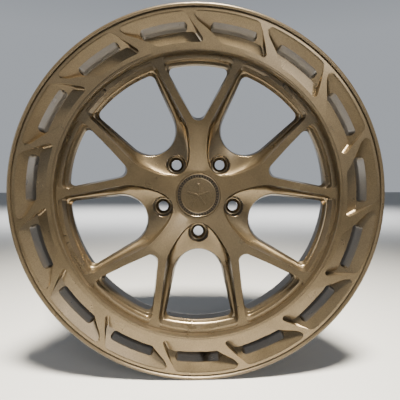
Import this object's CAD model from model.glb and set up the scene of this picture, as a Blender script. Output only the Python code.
"""A forged racing wheel rim: bronze centre, vented ring, drop-centre barrel, cap and valve.

Pieces are drawn in millimetres with the wheel's axis on Z and its face towards +Z,
and stand_up() turns them into the frame, in metres, with the face towards -Y.
"""
import math

import bmesh
import bpy
from mathutils import Matrix, Vector


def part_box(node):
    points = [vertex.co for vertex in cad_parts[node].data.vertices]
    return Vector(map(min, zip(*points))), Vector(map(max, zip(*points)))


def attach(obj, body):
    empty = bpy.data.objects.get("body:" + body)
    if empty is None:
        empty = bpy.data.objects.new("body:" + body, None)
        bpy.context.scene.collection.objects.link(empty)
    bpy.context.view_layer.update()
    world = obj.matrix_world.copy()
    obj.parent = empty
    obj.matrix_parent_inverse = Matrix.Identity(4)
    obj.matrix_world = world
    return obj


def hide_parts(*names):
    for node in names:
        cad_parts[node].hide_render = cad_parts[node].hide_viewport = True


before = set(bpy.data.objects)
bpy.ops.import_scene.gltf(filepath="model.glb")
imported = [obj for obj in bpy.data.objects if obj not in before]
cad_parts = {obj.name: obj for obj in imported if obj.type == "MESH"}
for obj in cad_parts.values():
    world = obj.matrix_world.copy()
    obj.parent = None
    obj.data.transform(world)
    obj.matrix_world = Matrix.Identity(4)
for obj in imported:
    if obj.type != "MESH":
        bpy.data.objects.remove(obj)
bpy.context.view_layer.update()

MM = 0.001
STAND_UP = Matrix.Scale(MM, 4) @ Matrix.Rotation(math.radians(90), 4, "X")


# ---- Sizes read from the frame, in millimetres ----

def radii(node):
    """Smallest and largest distance of a CAD node's points from the wheel's axis."""
    lengths = [Vector((v.co.x, v.co.z)).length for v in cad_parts[node].data.vertices]
    return min(lengths) / MM, max(lengths) / MM


def heights(node):
    """Rear and front height of a CAD node along the wheel's axis."""
    low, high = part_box(node)
    return -high.y / MM, -low.y / MM


RIM_R = radii("rim_barrel")[1]
REAR_Z, LIP_Z = heights("rim_barrel")
RING_IN_R, RING_R = radii("vented_ring")
JOINT_Z, RING_Z = heights("vented_ring")
BODY_R = radii("wheel_centre")[1]
CAP_R = radii("cap_shell")[1]
CAP_Z = heights("cap_shell")[1]
FLOOR_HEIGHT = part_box("rim_barrel")[0].z

SPOKES = 5
PITCH = 360 / SPOKES
SPOKE_PHASE = 90
WINDOW_PHASE = SPOKE_PHASE + PITCH / 2
VENTS = 15
VENT_PITCH = 360 / VENTS


# ---- Outlines: lists of 2-D points in millimetres ----

def on_circle(radius, degrees):
    angle = math.radians(degrees)
    return Vector((radius * math.cos(angle), radius * math.sin(angle)))


def arc(centre, radius, start, end, steps):
    turn = (end - start) / steps
    return [Vector(centre) + on_circle(radius, start + turn * i) for i in range(steps + 1)]


def circle(centre, radius, steps):
    return arc(centre, radius, 0, 360, steps)[:-1]


def smooth_line(points, steps):
    """A curve through hand-placed points, with the first one's neighbour mirrored in the X axis."""
    ends = [Vector((points[1].x, -points[1].y)), *points, 2 * points[-1] - points[-2]]
    made = []
    for a, b, c, d in zip(ends, ends[1:], ends[2:], ends[3:]):
        for i in range(steps):
            t = i / steps
            bend = (2 * a - 5 * b + 4 * c - d) * t * t + (3 * b - a - 3 * c + d) * t ** 3
            made.append((2 * b + (c - a) * t + bend) / 2)
    return made + [points[-1]]


def spaced(points, count):
    """The same line with evenly spaced points."""
    runs = [(b - a).length for a, b in zip(points, points[1:])]
    made, index, passed = [], 0, 0.0
    for i in range(count):
        goal = sum(runs) * i / (count - 1)
        while index < len(runs) - 1 and passed + runs[index] < goal:
            passed += runs[index]
            index += 1
        share = min(1, (goal - passed) / runs[index])
        made.append(points[index].lerp(points[index + 1], share))
    return made


def rounded(corners, steps=5):
    """A closed outline of (x, y, radius) corners, each turned into an arc."""
    made = []
    for i, (x, y, radius) in enumerate(corners):
        point = Vector((x, y))
        if radius == 0:
            made.append(point)
            continue
        back = (Vector(corners[i - 1][:2]) - point).normalized()
        ahead = (Vector(corners[(i + 1) % len(corners)][:2]) - point).normalized()
        half = back.angle(ahead) / 2
        centre = point + (back + ahead).normalized() * radius / math.sin(half)
        start = point + back * radius / math.tan(half) - centre
        end = point + ahead * radius / math.tan(half) - centre
        first = math.degrees(math.atan2(start.y, start.x))
        swing = math.degrees(math.atan2(end.y, end.x)) - first
        swing = (swing + 180) % 360 - 180
        made += arc(centre, radius, first, first + swing, steps)
    return made


def inset(outline, distance):
    """A closed outline moved inwards along its own normals."""
    area = sum(a.cross(b) for a, b in zip(outline, outline[1:] + outline[:1]))
    side = math.copysign(distance, area)
    made = []
    for i, point in enumerate(outline):
        before = (point - outline[i - 1]).normalized()
        after = (outline[(i + 1) % len(outline)] - point).normalized()
        along = (before + after).normalized()
        made.append(point + side * Vector((-along.y, along.x)))
    return made


def between(first, second, share):
    return [a.lerp(b, share) for a, b in zip(first, second)]


def follow(table, x):
    """Height at x on a line through (x, height) points."""
    for (x0, y0), (x1, y1) in zip(table, table[1:]):
        if x <= x1:
            return y0 + (y1 - y0) * max(0, (x - x0) / (x1 - x0))
    return table[-1][1]


def raised(outline, height):
    """The outline's points in space, at one height or at a height given by a function."""
    return [p.to_3d() + Vector((0, 0, height(p) if callable(height) else height)) for p in outline]


# ---- Solids made of outlines ----

def stack(levels):
    """A closed solid through rings of points, from its first cap to its last."""
    bm = bmesh.new()
    place = bm.verts.layers.int.new("place")
    ring = [bm.verts.new(point) for point in levels[0]]
    for i, vert in enumerate(ring):
        vert[place] = i
    last = bm.faces.new(ring)
    for i, points in enumerate(levels[1:]):
        made = bmesh.ops.extrude_face_region(bm, geom=[last], use_keep_orig=i == 0)["geom"]
        face = next(g for g in made if isinstance(g, bmesh.types.BMFace))
        if i > 0 and last.is_valid:
            bmesh.ops.delete(bm, geom=[last], context="FACES_ONLY")
        for vert in face.verts:
            vert.co = points[vert[place]]
        last = face
    bmesh.ops.recalc_face_normals(bm, faces=bm.faces)
    return bm


def turned(profile, steps=180):
    """A solid of revolution from a closed profile of (radius, height) points."""
    bm = bmesh.new()
    verts = [bm.verts.new((r, 0, z)) for r, z in profile]
    pairs = zip(verts, verts[1:] + verts[:1])
    edges = [bm.edges.new((a, b)) for a, b in pairs if a.co.x > 0 or b.co.x > 0]
    bmesh.ops.spin(bm, geom=verts + edges, cent=(0, 0, 0), axis=(0, 0, 1),
                   angle=math.tau, steps=steps, use_merge=True)
    bmesh.ops.remove_doubles(bm, verts=bm.verts, dist=0.001)
    bmesh.ops.recalc_face_normals(bm, faces=bm.faces)
    return bm


def turn(bm, degrees):
    bmesh.ops.rotate(bm, verts=bm.verts, cent=(0, 0, 0),
                     matrix=Matrix.Rotation(math.radians(degrees), 3, "Z"))
    return bm


def around(bm, count, first):
    """What is drawn along +X, set count times round the axis from the angle first."""
    turn(bm, first)
    bmesh.ops.spin(bm, geom=bm.verts[:] + bm.edges[:] + bm.faces[:], cent=(0, 0, 0),
                   axis=(0, 0, 1), angle=math.tau * (count - 1) / count,
                   steps=count - 1, use_duplicate=True)
    return bm


def new_piece(name, bm):
    mesh = bpy.data.meshes.new(name)
    bm.to_mesh(mesh)
    bm.free()
    piece = bpy.data.objects.new(name, mesh)
    bpy.context.scene.collection.objects.link(piece)
    return piece


def apply_modifiers(piece):
    bpy.context.view_layer.update()
    graph = bpy.context.evaluated_depsgraph_get()
    mesh = bpy.data.meshes.new_from_object(piece.evaluated_get(graph))
    old = piece.data
    piece.modifiers.clear()
    piece.data = mesh
    mesh.name = piece.name
    bpy.data.meshes.remove(old)


def cut(piece, tool_mesh, operation="DIFFERENCE"):
    """Cuts a piece with closed tool shapes, or joins them to it."""
    tool = new_piece("tool", tool_mesh)
    change = piece.modifiers.new("cut", "BOOLEAN")
    change.solver = "MANIFOLD"
    change.operation = operation
    change.object = tool
    apply_modifiers(piece)
    mesh = tool.data
    bpy.data.objects.remove(tool)
    bpy.data.meshes.remove(mesh)


def finish_piece(piece, body, material, nodes, sharp=34):
    """Turns a drawn piece into the frame, shades it and hands it to its body."""
    mesh = piece.data
    mesh.transform(STAND_UP)
    mesh.shade_smooth()
    mesh.set_sharp_from_angle(angle=math.radians(sharp))
    even = piece.modifiers.new("even_shading", "WEIGHTED_NORMAL")
    even.keep_sharp = True
    even.weight = 80
    mesh.materials.clear()
    mesh.materials.append(material)
    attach(piece, body)
    if nodes:
        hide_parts(*nodes)
    return piece


# ---- Camera and studio ----

def camera():
    data = bpy.data.cameras.new("camera")
    data.lens = 38.87
    data.sensor_width = 36
    data.shift_x = -0.0264
    data.shift_y = 0.0201
    view = bpy.data.objects.new("camera", data)
    view.location = (-0.0052, -0.6727, 0.0254)
    view.rotation_euler = (math.radians(90 - 3.97), 0, math.radians(-2.09))
    bpy.context.scene.collection.objects.link(view)
    bpy.context.scene.camera = view


def softbox(name, place, aim, size, watts, tint, spread):
    data = bpy.data.lights.new(name, "AREA")
    data.shape = "RECTANGLE"
    data.size, data.size_y = size
    data.energy = watts
    data.color = tint
    data.spread = math.radians(spread)
    lamp = bpy.data.objects.new(name, data)
    lamp.location = place
    lamp.rotation_euler = (Vector(aim) - Vector(place)).to_track_quat("-Z", "Y").to_euler()
    bpy.context.scene.collection.objects.link(lamp)


def pale_room():
    """A room with pale walls and a dim ceiling."""
    world = bpy.data.worlds.new("pale_room")
    world.use_nodes = True
    tree = world.node_tree
    nodes, links = tree.nodes, tree.links
    where = nodes.new("ShaderNodeTexCoord")
    height = nodes.new("ShaderNodeSeparateXYZ")
    shades = nodes.new("ShaderNodeValToRGB")
    pale, dim = shades.color_ramp.elements
    pale.position, pale.color = 0.3, (0.4, 0.425, 0.46, 1)
    dim.position, dim.color = 0.65, (0.09, 0.1, 0.115, 1)
    links.new(where.outputs["Generated"], height.inputs["Vector"])
    links.new(height.outputs["Z"], shades.inputs["Fac"])
    links.new(shades.outputs["Color"], nodes["Background"].inputs["Color"])
    bpy.context.scene.world = world


def studio():
    """A warm key from above, two weak fills, and a light for the floor behind the wheel."""
    softbox("key_softbox", (0.15, -0.9, 2.4), (0, 0, 0),
            size=(0.6, 0.5), watts=30, tint=(1.0, 0.93, 0.8), spread=46)
    softbox("front_softbox", (0.9, -2.3, 1.1), (0, 0, 0.1),
            size=(1.0, 0.7), watts=1.5, tint=(1.0, 0.97, 0.92), spread=60)
    softbox("left_softbox", (-2.2, -0.7, 0.4), (0, 0, 0),
            size=(0.5, 1.4), watts=1.5, tint=(0.9, 0.95, 1.0), spread=60)
    softbox("floor_softbox", (0, 2.5, 2.2), (0, 2.6, 0),
            size=(3.4, 1.6), watts=50, tint=(1, 1, 1), spread=50)
    pale_room()


# ---- Finishes ----

def node_group(name, sockets_in, sockets_out):
    """An empty group with (name, socket type, default) inputs and (name, socket type) outputs."""
    group = bpy.data.node_groups.new(name, "ShaderNodeTree")
    for title, kind, value in sockets_in:
        socket = group.interface.new_socket(title, in_out="INPUT", socket_type=kind)
        if value is not None:
            socket.default_value = value
    for title, kind in sockets_out:
        group.interface.new_socket(title, in_out="OUTPUT", socket_type=kind)
    return group, group.nodes.new("NodeGroupInput"), group.nodes.new("NodeGroupOutput")


def noise(tree, coordinates, scale, detail):
    node = tree.nodes.new("ShaderNodeTexNoise")
    node.inputs["Scale"].default_value = scale
    node.inputs["Detail"].default_value = detail
    tree.links.new(coordinates, node.inputs["Vector"])
    return node.outputs["Fac"]


def ranged(tree, value, low, high, start=0.0, end=1.0):
    """The value between start and end, mapped to low..high."""
    node = tree.nodes.new("ShaderNodeMapRange")
    for title, number in (("From Min", start), ("From Max", end), ("To Min", low), ("To Max", high)):
        node.inputs[title].default_value = number
    tree.links.new(value, node.inputs["Value"])
    return node.outputs["Result"]


def scaled_colour(tree, colour, value):
    node = tree.nodes.new("ShaderNodeVectorMath")
    node.operation = "SCALE"
    tree.links.new(colour, node.inputs[0])
    tree.links.new(value, node.inputs["Scale"])
    return node.outputs["Vector"]


def product(tree, first, second):
    node = tree.nodes.new("ShaderNodeMath")
    node.operation = "MULTIPLY"
    tree.links.new(first, node.inputs[0])
    tree.links.new(second, node.inputs[1])
    return node.outputs[0]


def flake_paint_group():
    """Metallic paint: fine flakes, a slow drift of tone, and dust where the surface faces up."""
    group, given, result = node_group(
        "flake_paint", [("Paint", "NodeSocketColor", None), ("Dust", "NodeSocketFloat", 0.2)],
        [("Color", "NodeSocketColor"), ("Roughness", "NodeSocketFloat")])
    nodes, links = group.nodes, group.links
    place = nodes.new("ShaderNodeTexCoord").outputs["Object"]
    flakes = nodes.new("ShaderNodeTexVoronoi")
    flakes.inputs["Scale"].default_value = 1400
    links.new(place, flakes.inputs["Vector"])
    flake = nodes.new("ShaderNodeSeparateColor")
    links.new(flakes.outputs["Color"], flake.inputs["Color"])
    sparkle = ranged(group, flake.outputs["Red"], 0.82, 1.22)
    drift = ranged(group, noise(group, place, 9, 3), 0.88, 1.12, 0.3, 0.7)
    colour = scaled_colour(group, scaled_colour(group, given.outputs["Paint"], sparkle), drift)
    facing = nodes.new("ShaderNodeSeparateXYZ")
    links.new(nodes.new("ShaderNodeNewGeometry").outputs["Normal"], facing.inputs["Vector"])
    up = ranged(group, facing.outputs["Z"], 0, 1, 0.55, 1)
    patches = ranged(group, noise(group, place, 160, 6), 0, 1, 0.35, 0.75)
    dust = product(group, product(group, up, patches), given.outputs["Dust"])
    mix = nodes.new("ShaderNodeMix")
    mix.data_type = "RGBA"
    mix.inputs["B"].default_value = (0.42, 0.39, 0.34, 1)
    links.new(dust, mix.inputs["Factor"])
    links.new(colour, mix.inputs["A"])
    links.new(mix.outputs["Result"], result.inputs["Color"])
    gloss = ranged(group, noise(group, place, 40, 4), 0.27, 0.34, 0.3, 0.7)
    links.new(gloss, result.inputs["Roughness"])
    return group


def mottle_group():
    """Plain materials: a slight mottle in tone, and grain in the gloss."""
    group, given, result = node_group(
        "mottle", [("Paint", "NodeSocketColor", None), ("Gloss", "NodeSocketFloat", 0.4)],
        [("Color", "NodeSocketColor"), ("Roughness", "NodeSocketFloat")])
    place = group.nodes.new("ShaderNodeTexCoord").outputs["Object"]
    tone = ranged(group, noise(group, place, 220, 4), 0.8, 1.2, 0.3, 0.7)
    group.links.new(scaled_colour(group, given.outputs["Paint"], tone), result.inputs["Color"])
    grain = ranged(group, noise(group, place, 700, 3), 0.85, 1.2, 0.3, 0.7)
    gloss = product(group, grain, given.outputs["Gloss"])
    group.links.new(gloss, result.inputs["Roughness"])
    return group


FLAKE_PAINT = flake_paint_group()
MOTTLE = mottle_group()


def material_with(name, group, colour):
    material = bpy.data.materials.new(name)
    material.use_nodes = True
    nodes, links = material.node_tree.nodes, material.node_tree.links
    shader = nodes["Principled BSDF"]
    effect = nodes.new("ShaderNodeGroup")
    effect.node_tree = group
    effect.inputs["Paint"].default_value = (*colour, 1)
    links.new(effect.outputs["Color"], shader.inputs["Base Color"])
    links.new(effect.outputs["Roughness"], shader.inputs["Roughness"])
    return material, shader, effect


def bronze_paint(name, colour, metallic=0.88, coat=0.5, dust=0.2):
    material, shader, effect = material_with(name, FLAKE_PAINT, colour)
    effect.inputs["Dust"].default_value = dust
    shader.inputs["Metallic"].default_value = metallic
    shader.inputs["Coat Weight"].default_value = coat
    shader.inputs["Coat Roughness"].default_value = 0.14
    return material


def plain_material(name, colour, metallic, gloss):
    material, shader, effect = material_with(name, MOTTLE, colour)
    effect.inputs["Gloss"].default_value = gloss
    shader.inputs["Metallic"].default_value = metallic
    return material


# ---- Forged centre ----

BOSS_R, BOSS_Z = 38, 38
CREASE_U, CREASE_Z = 99.75, 55
TIP_U, TIP_Z = 190, 67
STEP_R, STEP_Z = RING_IN_R - 0.2, LIP_Z - 15
LEDGE_R, LEDGE_Z = 192, LIP_Z - 28
CLEAR_R = 186
HUB_PAD_R = 76
BAND_Z = JOINT_Z - 10
EDGE_ROUND = 1.3

# Heights clear of the wheel in front and behind, where the cutting shapes end
ABOVE = LIP_Z + 6
BELOW = -6

# Edge of a stem's face from the boss to the fork, with x along the spoke
STEM_EDGE = [(38, 15.8), (46, 12.4), (60, 10.2), (80, 11.2), (99, 14.4), (112, 21.1)]
ARM_OUTER_ANGLE = 28.1
ARM_INNER_ANGLE = 30.3
CROTCH_CENTRE, CROTCH_R = 116.4, 10.9

# Heights along the valleys beside the spokes, by distance from the axis
FOOT = [(38, 30.5), (60, 31), (80, 32), (100, 35), (130, 40), (160, 45.6), (184, LEDGE_Z + 0.2)]
MOUTH = [(79, 25), (100, 28), (130, 36.5), (160, 44.5), (182, LEDGE_Z - 0.3)]
BACK = [(HUB_PAD_R, 0), (HUB_PAD_R + 10, 9), (180.8, 41), (STEP_R - 6, BAND_Z)]

# The arm tips blend into the step from this radius, over this run
TIP_BLEND_R, TIP_BLEND_RUN = 184, 6

# A quarter round in steps of (inwards, up), as parts of its radius
ROUND_STEPS = [(-1.5, 0.12), (-0.741, -0.034), (-0.293, -0.293), (-0.034, -0.741)]


def along_spoke(point):
    """Distance of a point from the axis, measured along the nearest spoke."""
    angle = math.degrees(math.atan2(point.y, point.x)) - SPOKE_PHASE
    off = (angle + PITCH / 2) % PITCH - PITCH / 2
    return math.hypot(point.x, point.y) * math.cos(math.radians(off))


def face_z(u):
    return follow([(BOSS_R, BOSS_Z), (CREASE_U, CREASE_Z), (TIP_U, TIP_Z)], u)


def at_radius(table):
    return lambda p: follow(table, p.length)


def outer_end(start, spread, out_r, corner):
    """The outer end of a window's half: a round corner, then an arc about the axis."""
    side = on_circle(1, spread)
    inner = start + corner * Vector((side.y, -side.x))
    along = inner.dot(side)
    reach = math.sqrt(along ** 2 - inner.length_squared + (out_r - corner) ** 2) - along
    knuckle = inner + side * reach
    top = math.degrees(math.atan2(knuckle.y, knuckle.x))
    return arc(knuckle, corner, 90 + spread, top, 8), arc((0, 0), out_r, top, 0, 12)[1:]


def window(inner_end, spread, out_r, corner):
    """A whole window along +X from its inner end's half."""
    bend, end = outer_end(inner_end[-1], spread, out_r, corner)
    side = spaced([inner_end[-1], bend[0]], 9)[1:-1]
    half = inner_end + side + bend + end
    return half + [Vector((p.x, -p.y)) for p in reversed(half[1:-1])]


def spoke_edge_to_window(point):
    """A point drawn with x along a spoke, seen with x along the next window."""
    half = math.radians(PITCH / 2)
    u, v = point
    return Vector((u * math.cos(half) + v * math.sin(half), u * math.sin(half) - v * math.cos(half)))


def valley_outline(out_r, corner):
    """Edge of the spoke faces round one large window."""
    edge = [Vector((BOSS_R, 0))] + [spoke_edge_to_window(p) for p in STEM_EDGE]
    inner = spaced(smooth_line(edge, 8), 30)
    return window(inner, PITCH / 2 - ARM_OUTER_ANGLE, out_r, corner)


def large_window_outline(grow, out_r):
    inner = arc((120, 0), 38.5 + grow, 180, 102, 29)
    return window(inner, 12, out_r + grow, 8)


def small_window_outline(sink, out_r, corner, shift=0, crotch=0):
    """The small window between a spoke's arms, sunk from the edge of their faces."""
    inner = arc((CROTCH_CENTRE + shift, 0), CROTCH_R - sink + crotch, 180, 90 + ARM_INNER_ANGLE, 15)
    return window(inner, ARM_INNER_ANGLE, out_r, corner)


def rounding(outline, top, size=EDGE_ROUND):
    """Rings that round the edge of a cut, from outside the face to the wall."""
    return [raised(inset(outline, size * inwards), lambda p, up=up: top(p) + size * up)
            for inwards, up in ROUND_STEPS]


def window_top(turned_by):
    """Height of the spoke faces above a window drawn along +X, and of the step at its outer end."""
    rot = Matrix.Rotation(math.radians(turned_by), 2)

    def top(point):
        u = along_spoke(rot @ point)
        share = min(1, max(0, (point.length - TIP_BLEND_R) / TIP_BLEND_RUN))
        return face_z(u) * (1 - share) + STEP_Z * share
    return top


def large_window_tool():
    edge = valley_outline(LEDGE_R, 9)
    top = window_top(WINDOW_PHASE)
    foot, mouth, back = at_radius(FOOT), at_radius(MOUTH), at_radius(BACK)
    opening = large_window_outline(2.2, CLEAR_R)
    wall_foot = inset(edge, 5)
    levels = [raised(inset(edge, -1.5 * EDGE_ROUND), ABOVE)] + rounding(edge, top)
    levels += [raised(inset(edge, 3.4), lambda p: foot(p) + 3),
               raised(inset(edge, 4.2), lambda p: foot(p) + 1.2),
               raised(wall_foot, lambda p: foot(p) + 0.3)]
    for share, sink in ((0.3, 0.45), (0.65, 0.78), (1, 1)):
        ring = between(wall_foot, opening, share)
        levels.append([a.to_3d() + Vector((0, 0, foot(f) * (1 - sink) + mouth(m) * sink))
                       for a, f, m in zip(ring, wall_foot, opening)])
    for grow, down in ((0.9, 0.9), (0.2, 2.4), (0, 4)):
        levels.append(raised(large_window_outline(grow, CLEAR_R), lambda p, d=down: mouth(p) - d))
    for grow, up in ((-2.2, 1.4), (-1.8, 0.4), (-0.9, -0.3)):
        levels.append(raised(large_window_outline(grow, CLEAR_R), lambda p, u=up: back(p) + u))
    levels.append(raised(large_window_outline(-0.4, CLEAR_R), BELOW))
    return stack(levels)


def small_window_tool():
    back_shift, back_crotch = 11.1, 5.6
    edge = small_window_outline(0, LEDGE_R, 8.5)
    top = window_top(SPOKE_PHASE)
    back = at_radius(BACK)
    land = at_radius([(105, 47), (150, 49), (184, LEDGE_Z + 0.4)])
    lip = at_radius([(105, 45), (150, 47.5), (182, LEDGE_Z - 0.2)])
    levels = [raised(inset(edge, -1.5 * EDGE_ROUND), ABOVE)] + rounding(edge, top)
    levels += [raised(small_window_outline(0.7, LEDGE_R - 0.8, 8.2), lambda p: land(p) + 1),
               raised(small_window_outline(0.9, LEDGE_R - 1.6, 8), land),
               raised(small_window_outline(1.2, CLEAR_R + 1, 7.5), lip),
               raised(small_window_outline(1.4, CLEAR_R + 0.2, 7.3), lambda p: lip(p) - 1),
               raised(small_window_outline(1.6, CLEAR_R, 7.2), lambda p: lip(p) - 3)]
    for sink, out, corner, up in ((4, -1, 6.5, 1.3), (3.5, -0.6, 6.8, 0.3), (2.6, 0.2, 7.2, -0.3)):
        ring = small_window_outline(sink, CLEAR_R + out, corner, back_shift, back_crotch)
        levels.append(raised(ring, lambda p, up=up: back(p) + up))
    levels.append(raised(small_window_outline(2, CLEAR_R + 0.6, 7.4, back_shift, back_crotch), BELOW))
    return stack(levels)


def step_tool(edge, top):
    """The shallow step between the arm tips, open to the ring."""
    levels = [raised(inset(edge, -1.5), ABOVE)] + rounding(edge, top, 1)
    levels += [raised(inset(edge, 0.5), STEP_Z + 0.8), raised(inset(edge, 1.1), STEP_Z)]
    return stack(levels)


BOLT_CIRCLE_R = 56
POCKET_R = 14
HOLE_R = 7.5
SEAT_Z = 12

# The boss's face round a pocket, as a ramp: height at a radius, and its fall outwards
RAMP_R, RAMP_Z, RAMP_FALL = 40, 30.3, 0.128


def bolt_pocket_tool():
    def ring(radius):
        return circle((BOLT_CIRCLE_R, 0), radius, 48)

    def ramp(point):
        return RAMP_Z - (point.x - RAMP_R) * RAMP_FALL

    levels = [raised(ring(POCKET_R + 1.6), ABOVE)]
    for grow, up in ((1.6, 0.3), (0.8, -0.3), (0.2, -1), (0, -2)):
        levels.append(raised(ring(POCKET_R + grow), lambda p, up=up: ramp(p) + up))
    for radius, z in ((POCKET_R - 0.3, SEAT_Z + 2), (POCKET_R - 1.2, SEAT_Z + 0.4),
                      (POCKET_R - 2.6, SEAT_Z), (HOLE_R + 3.4, SEAT_Z), (HOLE_R + 3, SEAT_Z - 0.6),
                      (HOLE_R, SEAT_Z - 4), (HOLE_R, 0.6), (HOLE_R + 0.9, -0.3), (HOLE_R + 0.9, BELOW)):
        levels.append(raised(ring(radius), z))
    return stack(levels)


def pad_pocket_tool():
    """A shallow pocket in the hub pad between two bolt holes."""
    low, high, half, corner = BOLT_CIRCLE_R - 12, BOLT_CIRCLE_R + 12, 15, 5
    edge = rounded([(low, -half, corner), (high, -half, corner), (high, half, corner), (low, half, corner)])
    return stack([raised(inset(edge, -0.8), BELOW), raised(inset(edge, -0.8), -0.1), raised(edge, 0.8),
                  raised(inset(edge, 0.8), 6), raised(inset(edge, 2), 7)])


CAP_SEAT_Z = CAP_Z - 3
THROAT_R = 29.95
HUB_BORE_R = radii("hub_ring")[1] + 0.05
HUB_BORE_TOP_Z = 17


def hub_bore_tool():
    return turned([(0, BELOW), (HUB_BORE_R + 1, BELOW), (HUB_BORE_R + 1, 0), (HUB_BORE_R, 1),
                   (HUB_BORE_R, HUB_BORE_TOP_Z), (THROAT_R, HUB_BORE_TOP_Z),
                   (THROAT_R, CAP_SEAT_Z), (CAP_R + 0.15, CAP_SEAT_Z),
                   (CAP_R + 0.15, BOSS_Z - 0.8), (CAP_R + 0.9, BOSS_Z + 0.1), (CAP_R + 1, ABOVE),
                   (0, ABOVE)])


# Slots at the back of the vents: half length in degrees, and what the round ends take in millimetres
SLOT_IN_R, SLOT_OUT_R = 226, BODY_R - 1
SLOT_HALF, SLOT_END, SLOT_CORNER = 8, 6, 5

# Assembly bolts: circle, hole, and threaded hole in the ring
ASM_R = 227.2
BOLT_HOLE_R, THREAD_HOLE_R = 3.3, 3.05


def ring_lean(radius):
    """How far the struts have leaned back at a radius, in degrees."""
    return -6.9 * (RING_R - 4 - radius) / (RING_R - 4 - RING_IN_R - 8.8)


STRUT_PHASE = 20.5
SLOT_PHASE = STRUT_PHASE + VENT_PITCH / 2 + ring_lean(232.6)
BOLT_PHASE = STRUT_PHASE + ring_lean(ASM_R)


def slot_outline(out_r):
    """A curved slot with rounded ends along +X."""
    straight = SLOT_HALF - SLOT_END / SLOT_IN_R * 180 / math.pi
    inner = arc((0, 0), SLOT_IN_R, straight, -straight, 12)
    outer = arc((0, 0), out_r, -straight, straight, 12)

    def ends(side):
        return rounded([(*on_circle(SLOT_IN_R, side * straight), 0),
                        (*on_circle(SLOT_IN_R, side * SLOT_HALF), SLOT_CORNER),
                        (*on_circle(out_r, side * SLOT_HALF), SLOT_CORNER),
                        (*on_circle(out_r, side * straight), 0)])[1:-1]

    return inner + ends(-1) + outer + ends(1)[::-1]


def slots_tool(low, high):
    outline = slot_outline(SLOT_OUT_R)
    return around(stack([raised(outline, low), raised(outline, high)]), VENTS, SLOT_PHASE)


def bolt_holes_tool(radius, low, high):
    hole = circle((ASM_R, 0), radius, 24)
    return around(stack([raised(hole, low), raised(hole, high)]), VENTS, BOLT_PHASE)


def centre_blank():
    """The forging before its windows: a dish whose front has a flat facet for each stem and arm."""
    top = ABOVE + 20
    bm = turned([(0, 0), (HUB_PAD_R - 1, 0), (HUB_PAD_R, 1), *BACK[1:],
                 (BODY_R - 0.8, BAND_Z), (BODY_R, BAND_Z + 0.8), (BODY_R, JOINT_Z),
                 (STEP_R, JOINT_Z), (STEP_R, top), (BOSS_R, top), (0, top)])
    for i in range(SPOKES):
        axis = on_circle(1, SPOKE_PHASE + i * PITCH)
        bmesh.ops.bisect_plane(bm, geom=bm.verts[:] + bm.edges[:] + bm.faces[:], dist=0.001,
                               plane_co=(axis * CREASE_U).to_3d(), plane_no=axis.to_3d())
    for vert in bm.verts:
        if vert.co.z > ABOVE:
            vert.co.z = face_z(along_spoke(vert.co))
    return bm


def wheel_centre(material):
    piece = new_piece("forged_centre", centre_blank())
    valley_step = step_tool(inset(valley_outline(STEP_R + 1, 8), 2), window_top(WINDOW_PHASE))
    fork_step = step_tool(small_window_outline(1.5, STEP_R + 1, 8), window_top(SPOKE_PHASE))
    cut(piece, around(large_window_tool(), SPOKES, WINDOW_PHASE))
    cut(piece, around(small_window_tool(), SPOKES, SPOKE_PHASE))
    cut(piece, around(valley_step, SPOKES, WINDOW_PHASE))
    cut(piece, around(fork_step, SPOKES, SPOKE_PHASE))
    cut(piece, around(bolt_pocket_tool(), SPOKES, WINDOW_PHASE))
    cut(piece, around(pad_pocket_tool(), SPOKES, SPOKE_PHASE))
    cut(piece, hub_bore_tool())
    cut(piece, slots_tool(BAND_Z - 2, JOINT_Z + 2))
    cut(piece, bolt_holes_tool(BOLT_HOLE_R, BAND_Z - 2, JOINT_Z + 2))
    return finish_piece(piece, "wheel", material, ["wheel_centre"])


# ---- Vented ring ----

LAND_Z = RING_Z - 3.5
VENT_FLOOR_Z = LIP_Z - 18
CONE_TOP_R = RING_R - 4
CONE_SLOPE = 0.6
SHOULDER_Z = 66.9
WRAP_R = 230

# A vent's floor falls this far, from this radius over this run; the wall's top stays level
FLOOR_FALL, FALL_R, FALL_RUN = 6, 208, 20
WALL_TOP = 12

# Corners of a vent: distance from the axis, degrees from its strut, and roundness
VENT_CORNERS = [(CONE_TOP_R + 1, -0.8, 6.5), (238, -1.5, 20), (207.3, -11.5, 12),
                (207.3, -29.6, 5), (CONE_TOP_R + 1, -22.1, 9.5)]


def subdivided(outline, longest):
    """The same closed outline with its long edges split."""
    made = []
    for a, b in zip(outline, outline[1:] + outline[:1]):
        count = max(1, math.ceil((b - a).length / longest))
        made += [a.lerp(b, i / count) for i in range(count)]
    return made


def wrapped(outline):
    """An outline drawn flat, with x along the rim, wrapped round the axis."""
    return [on_circle(p.y, math.degrees(p.x / WRAP_R)) for p in outline]


def vent_edge():
    corners = [(math.radians(angle) * WRAP_R, r, bend) for r, angle, bend in VENT_CORNERS]
    return subdivided(rounded(corners, 6), 5)


def follow_floor(up):
    """Heights above a vent's floor, which falls from the inner wall to the slot."""
    fall = FLOOR_FALL if up < WALL_TOP else 0
    return lambda p: VENT_FLOOR_Z + up - fall * min(1, max(0, (p.length - FALL_R) / FALL_RUN))


def vents_cone():
    """The room the vents may take: up to a cone that meets the ring's face near its edge."""
    inner_r, foot_r = 195, 222
    low, top = VENT_FLOOR_Z - 4, RING_Z + 20

    def cone(radius):
        return RING_Z - (CONE_TOP_R - radius) * CONE_SLOPE

    return turned([(inner_r, low), (foot_r, low), (foot_r, cone(foot_r)),
                   (CONE_TOP_R - 1.6, cone(CONE_TOP_R - 1.6)),
                   (CONE_TOP_R - 0.5, RING_Z - 0.4), (CONE_TOP_R + 0.6, RING_Z - 0.08),
                   (CONE_TOP_R + 0.9, RING_Z + 0.3), (CONE_TOP_R + 0.9, top), (inner_r, top)])


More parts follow.
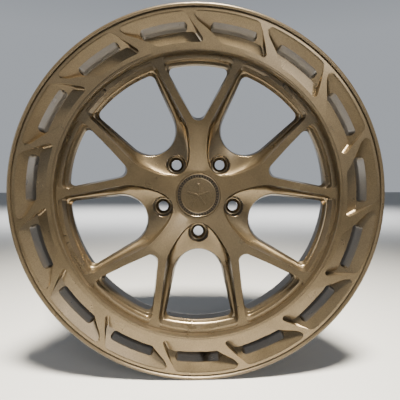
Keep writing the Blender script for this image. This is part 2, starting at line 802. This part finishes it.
def vents_tool():
    """The vents: leaning pockets with drafted walls under a cone that rises to the ring's edge."""
    edge = vent_edge()
    levels = [raised(wrapped(inset(edge, -1.5)), ABOVE)]
    for inwards, up in ROUND_STEPS:
        levels.append(raised(wrapped(inset(edge, inwards)), RING_Z + up))
    for inwards, up in ((0.4, WALL_TOP), (1.3, 8.5), (1.7, 7.3), (2.5, 6.2), (4, 5)):
        levels.append(raised(wrapped(inset(edge, inwards)), follow_floor(up)))
    tool = new_piece("vents", around(stack(levels), VENTS, STRUT_PHASE))
    cut(tool, vents_cone(), "INTERSECT")
    made = bmesh.new()
    made.from_mesh(tool.data)
    mesh = tool.data
    bpy.data.objects.remove(tool)
    bpy.data.meshes.remove(mesh)
    return made


def sweep(profile, first, last, steps):
    """A solid swept round the axis from one angle to another."""
    levels = []
    for i in range(steps + 1):
        across = on_circle(1, first + (last - first) * i / steps)
        levels.append([(across * r).to_3d() + Vector((0, 0, z)) for r, z in profile])
    return stack(levels)


def face_groove_tool():
    """The fine groove round the ring's inner face, with a plain panel at the top."""
    width, depth, panel_half = 1.6, 0.8, 18
    r, z = RING_IN_R + 2.4, RING_Z
    profile = [(r, z - depth), (r + width, z - depth), (r + width, z + 2), (r, z + 2)]
    return sweep(profile, 90 + panel_half, 90 + 360 - panel_half, 162)


def vented_ring(material):
    piece = new_piece("vented_face_ring", turned([
        (RING_IN_R + 0.6, JOINT_Z), (BODY_R - 0.6, JOINT_Z), (BODY_R, JOINT_Z + 0.6), (BODY_R, SHOULDER_Z),
        (CONE_TOP_R - 0.2, LAND_Z), (RING_R, LAND_Z), (RING_R, RING_Z - 1), (RING_R - 0.3, RING_Z - 0.3),
        (RING_R - 1, RING_Z), (RING_IN_R + 1.3, RING_Z), (RING_IN_R + 0.4, RING_Z - 0.4),
        (RING_IN_R, RING_Z - 1.3), (RING_IN_R, JOINT_Z + 0.6)], 240))
    cut(piece, vents_tool())
    cut(piece, slots_tool(JOINT_Z - 2, RING_Z + 2))
    cut(piece, bolt_holes_tool(THREAD_HOLE_R, JOINT_Z - 2, JOINT_Z + 12))
    cut(piece, face_groove_tool())
    return finish_piece(piece, "wheel", material, ["vented_ring"])


# ---- Barrel ----

SEAT_R, BORE_R = RIM_R - 17.3, RIM_R - 21.8
WELL_R, WELL_IN_R = SEAT_R - 17, SEAT_R - 21.5
FLANGE_T = 13
EAR_Z = BAND_Z - 12
VALVE_TURN, VALVE_TILT = STRUT_PHASE + 10.5 * VENT_PITCH, -58
VALVE_R, VALVE_Z = 230.7, 12.09
VALVE_HOLE_R, VALVE_SPOT_R = 5.75, 9.5


def barrel_profile():
    front, rear = LIP_Z - FLANGE_T, REAR_Z + FLANGE_T
    outer = [(RIM_R, LIP_Z, 3), (RIM_R, front, 3), (SEAT_R, front, 5), (SEAT_R, front - 20, 8),
             (SEAT_R + 1.4, front - 24, 4), (SEAT_R, front - 28, 8), (SEAT_R, 24.4, 8),
             (WELL_R, -2.8, 12), (WELL_R, -54.8, 14), (SEAT_R, -114.3, 14), (SEAT_R, rear + 28, 8),
             (SEAT_R + 1.4, rear + 24, 4), (SEAT_R, rear + 20, 8), (SEAT_R, rear, 5), (RIM_R, rear, 3),
             (RIM_R, REAR_Z, 3)]
    inner = [(SEAT_R, REAR_Z, 2), (BORE_R + 1, REAR_Z + 5, 2), (BORE_R, rear, 4), (BORE_R, -115.3, 14),
             (WELL_IN_R, -55.8, 14), (WELL_IN_R, -1.5, 8), (BORE_R, 25.7, 5), (BORE_R, 66.8, 1),
             (CONE_TOP_R, LAND_Z, 0), (RING_R + 0.2, LAND_Z, 0), (RING_R + 0.2, LAND_Z + 1, 0),
             (RING_R + 1.5, LAND_Z + 1.5, 0.3), (RING_R + 1.5, LIP_Z - 1.4, 0.5), (RING_R + 3, LIP_Z, 0.7)]
    return rounded(outer + inner, 5)


def ears_tool():
    """The ears behind the centre's band that the assembly bolts pass through."""
    tip, wall, half = BORE_R - 22, BORE_R + 2.6, 12.5
    edge = rounded([(tip, -half, 4), (wall, -half, 0), (wall, half, 0), (tip, half, 4)])
    return around(stack([raised(inset(edge, 0.8), EAR_Z), raised(edge, EAR_Z + 0.8),
                         raised(edge, BAND_Z - 0.4), raised(inset(edge, 0.4), BAND_Z)]), VENTS, BOLT_PHASE)


def at_valve(bm):
    """Places a shape drawn on +Z at the valve hole, pointing from the wall to the wheel's middle."""
    place = (Matrix.Rotation(math.radians(VALVE_TURN), 4, "Z")
             @ Matrix.Translation((VALVE_R, 0, VALVE_Z))
             @ Matrix.Rotation(math.radians(VALVE_TILT), 4, "Y"))
    bmesh.ops.transform(bm, matrix=place, verts=bm.verts)
    return bm


def valve_hole_tool():
    """The valve's hole, with a flat face for its seal."""
    return at_valve(turned([(0, -14), (VALVE_HOLE_R, -14), (VALVE_HOLE_R, 0),
                            (VALVE_SPOT_R, 0), (VALVE_SPOT_R, 5), (0, 5)], 48))


def barrel(material):
    piece = new_piece("barrel", turned(barrel_profile(), 240))
    cut(piece, ears_tool(), "UNION")
    cut(piece, bolt_holes_tool(BOLT_HOLE_R, EAR_Z - 2, BAND_Z + 2))
    cut(piece, valve_hole_tool())
    return finish_piece(piece, "wheel", material, ["rim_barrel"], 28)


# ---- Centre cap ----

CATCH_Z = CAP_SEAT_Z - 14
TRIM_R, TRIM_IN_R = radii("cap_trim_ring")[1], 26.25
EMBLEM_R = radii("cap_emblem")[1]
TEETH = 44
CLIPS, SLIT_W = 8, 5


def cap_shell(material):
    """The snap-in cap: a disc with a raised rim, and a skirt cut into clips."""
    floor_z = CAP_Z - 1
    piece = new_piece("cap_disc", turned([
        (0, CAP_SEAT_Z - 0.6), (27.2, CAP_SEAT_Z - 0.6), (27.2, CATCH_Z + 0.4), (27.6, CATCH_Z),
        (28.9, CATCH_Z), (29.9, CATCH_Z + 1.35), (29, CATCH_Z + 2.7), (29, CAP_SEAT_Z),
        (CAP_R - 0.4, CAP_SEAT_Z), (CAP_R, CAP_SEAT_Z + 0.4), (CAP_R, CAP_Z - 0.6),
        (CAP_R - 0.2, CAP_Z - 0.2), (CAP_R - 0.6, CAP_Z),
        (TRIM_R + 0.5, CAP_Z), (TRIM_R + 0.25, CAP_Z - 0.2), (TRIM_R + 0.15, floor_z), (0, floor_z)], 128))
    half = SLIT_W / 2
    slit = [Vector(p) for p in ((20, -half), (33, -half), (33, half), (20, half))]
    cut(piece, around(stack([raised(slit, CATCH_Z - 1), raised(slit, CATCH_Z + 12)]), CLIPS, 0))
    return finish_piece(piece, "centre_cap", material, ["cap_shell"])


def cap_trim_ring(material):
    """A dark ring pierced by a row of small triangular teeth."""
    low, top = CAP_Z - 1, CAP_Z - 0.1
    piece = new_piece("toothed_ring", turned([
        (TRIM_IN_R, low), (TRIM_R, low), (TRIM_R, top - 0.2), (TRIM_R - 0.2, top),
        (TRIM_IN_R + 0.2, top), (TRIM_IN_R, top - 0.2)], 132))
    tooth = rounded([(TRIM_R - 0.7, 0, 0.25), (TRIM_IN_R + 0.7, 1.35, 0.2), (TRIM_IN_R + 0.7, -1.35, 0.2)], 2)
    cut(piece, around(stack([raised(tooth, low - 1), raised(tooth, top + 1)]), TEETH, 0))
    return finish_piece(piece, "centre_cap", material, ["cap_trim_ring"])


def star_outline():
    """A plain star with one straight arm for each spoke."""
    root, tip, half = EMBLEM_R / 3, EMBLEM_R / 3 * 2, 1.5
    notch_r = 2.552
    made = []
    for i in range(SPOKES):
        turned_by = Matrix.Rotation(math.radians(SPOKE_PHASE + i * PITCH), 2)
        for x, y, bend in ((root, -half, 0.5), (tip, -half, 0.7), (tip, half, 0.7), (root, half, 0.5)):
            made.append((*(turned_by @ Vector((x, y))), bend))
        made.append((*(turned_by @ on_circle(notch_r, PITCH / 2)), 0.3))
    return rounded(made, 3)


def cap_emblem(material):
    """A plain emblem: a slightly domed disc with a raised five-armed star."""
    low, top = CAP_Z - 1, CAP_Z + 0.6
    piece = new_piece("star_emblem", turned([
        (0, low), (EMBLEM_R - 0.1, low), (EMBLEM_R - 0.1, CAP_Z - 0.5), (EMBLEM_R - 0.5, CAP_Z - 0.25),
        (EMBLEM_R - 1.6, CAP_Z - 0.1), (18, CAP_Z), (0, CAP_Z)], 96))
    edge = star_outline()
    cut(piece, stack([raised(inset(edge, -0.25), low + 0.3), raised(inset(edge, -0.25), CAP_Z),
                      raised(edge, CAP_Z + 0.12), raised(inset(edge, 0.08), top - 0.2),
                      raised(inset(edge, 0.25), top)]), "UNION")
    return finish_piece(piece, "centre_cap", material, ["cap_emblem"])


# ---- Hardware: CAD shapes with their edges rounded ----

def rounded_copy(name, node, body, material, size):
    """A merged copy of a CAD node with a small round on its edges."""
    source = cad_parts[node]
    bm = bmesh.new()
    bm.from_mesh(source.data)
    bmesh.ops.transform(bm, matrix=STAND_UP.inverted() @ source.matrix_world, verts=bm.verts)
    bmesh.ops.remove_doubles(bm, verts=bm.verts, dist=0.002)
    bmesh.ops.dissolve_limit(bm, angle_limit=math.radians(0.5), verts=bm.verts, edges=bm.edges,
                             use_dissolve_boundaries=False)
    sharp = [e for e in bm.edges if len(e.link_faces) == 2 and e.calc_face_angle() > math.radians(40)]
    bmesh.ops.bevel(bm, geom=sharp, offset=size, segments=2, profile=0.5, affect="EDGES",
                    clamp_overlap=True)
    return finish_piece(new_piece(name, bm), body, material, [node])


def knurled_cap(material):
    """The valve's dust cap with grooves for the fingers."""
    low, top = 20.5, 32.5
    grip_r, groove, bore_r, steps = 5, 0.35, 3.9, 96

    def ring(radius, z):
        return raised(circle((0, 0), radius, steps), z)

    grip = [on_circle(grip_r - (groove if i % 4 < 2 else 0), 360 * (i + 0.5) / steps)
            for i in range(steps)]
    piece = new_piece("dust_cap", stack([
        ring(grip_r - 0.4, low), ring(grip_r, low + 0.4), ring(grip_r, low + 1.6),
        raised(grip, low + 2), raised(grip, top - 2),
        ring(grip_r - 0.1, top - 1.5), ring(grip_r - 0.8, top - 0.3), ring(grip_r - 1.4, top)]))
    cut(piece, turned([(0, low - 1), (bore_r, low - 1), (bore_r, top - 1.5), (0, top - 1.5)], 48))
    mesh = piece.data
    bm = bmesh.new()
    bm.from_mesh(mesh)
    at_valve(bm)
    bm.to_mesh(mesh)
    bm.free()
    return finish_piece(piece, "dust_cap", material, ["valve_cap"])


def core_spring(material):
    """The valve core's spring as one coil."""
    low, top, wire = 21.5, 28.2, 0.17
    coil_r, coils, steps = 1.05, 7, 16
    levels = []
    for i in range(coils * steps + 1):
        share = i / (coils * steps)
        centre = on_circle(coil_r, 360 * coils * share).to_3d()
        outward = centre.normalized()
        rise = Vector((0, 0, low + wire + (top - low - 2 * wire) * share))
        levels.append([centre + rise + wire * (outward * math.cos(a) + Vector((0, 0, math.sin(a))))
                       for a in (math.tau * j / 8 for j in range(8))])
    piece = new_piece("core_spring", at_valve(stack(levels)))
    return finish_piece(piece, "wheel", material, ["valve_core_spring"], 60)


# ---- The wheel ----

def finish_cad_nodes(materials):
    """Gives the CAD shapes that are kept as they are their finished materials."""
    for node, material in materials.items():
        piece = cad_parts[node]
        piece.data.materials.clear()
        piece.data.materials.append(material)


def wheel():
    face = bronze_paint("bronze_face", (0.175, 0.13, 0.073))
    tube = bronze_paint("bronze_barrel", (0.1, 0.074, 0.042), 0.6, 0.15)
    badge = bronze_paint("bronze_cap", (0.14, 0.104, 0.058))
    black_steel = plain_material("black_steel", (0.03, 0.03, 0.032), 0.8, 0.38)
    zinc = plain_material("zinc_steel", (0.5, 0.5, 0.5), 1.0, 0.32)
    rubber = plain_material("black_rubber", (0.018, 0.018, 0.018), 0.0, 0.6)
    brass = plain_material("brass", (0.55, 0.38, 0.14), 1.0, 0.3)
    spring = plain_material("spring_steel", (0.45, 0.45, 0.46), 1.0, 0.25)
    nylon = plain_material("black_nylon", (0.022, 0.022, 0.024), 0.0, 0.45)
    stem = plain_material("black_stem", (0.035, 0.034, 0.033), 0.7, 0.35)
    wheel_centre(face)
    vented_ring(face)
    barrel(tube)
    cap_shell(badge)
    cap_trim_ring(plain_material("dark_trim", (0.02, 0.015, 0.01), 0.5, 0.4))
    cap_emblem(badge)
    rounded_copy("socket_bolts", "assembly_bolts", "wheel", black_steel, 0.4)
    rounded_copy("bolt_washers", "assembly_washers", "wheel", zinc, 0.25)
    rounded_copy("centring_ring", "hub_ring", "centring_ring", nylon, 0.6)
    rounded_copy("valve_body", "valve_stem", "wheel", stem, 0.3)
    rounded_copy("valve_hex_nut", "valve_nut", "wheel", zinc, 0.4)
    rounded_copy("valve_flat_washer", "valve_washer", "wheel", zinc, 0.2)
    rounded_copy("outer_rim_seal", "valve_outer_seal", "wheel", rubber, 0.4)
    rounded_copy("inner_rim_seal", "valve_inner_seal", "wheel", rubber, 0.4)
    knurled_cap(plain_material("black_cap", (0.03, 0.028, 0.025), 0.6, 0.35))
    core_spring(spring)
    finish_cad_nodes({"cap_spring_ring": spring, "valve_core_body": brass, "valve_core_pin": brass,
                      "valve_core_gasket": rubber, "valve_core_plunger": rubber, "valve_cap_seal": rubber})


def floor():
    mesh = bpy.data.meshes.new("floor")
    bm = bmesh.new()
    bmesh.ops.create_grid(bm, x_segments=1, y_segments=1, size=8)
    bmesh.ops.translate(bm, verts=bm.verts, vec=(0, 0, FLOOR_HEIGHT))
    bm.to_mesh(mesh)
    bm.free()
    piece = bpy.data.objects.new("floor", mesh)
    material = bpy.data.materials.new("floor_paint")
    material.use_nodes = True
    shader = material.node_tree.nodes["Principled BSDF"]
    shader.inputs["Base Color"].default_value = (0.62, 0.62, 0.61, 1)
    shader.inputs["Roughness"].default_value = 0.7
    mesh.materials.append(material)
    bpy.context.scene.collection.objects.link(piece)


camera()
studio()
floor()
wheel()
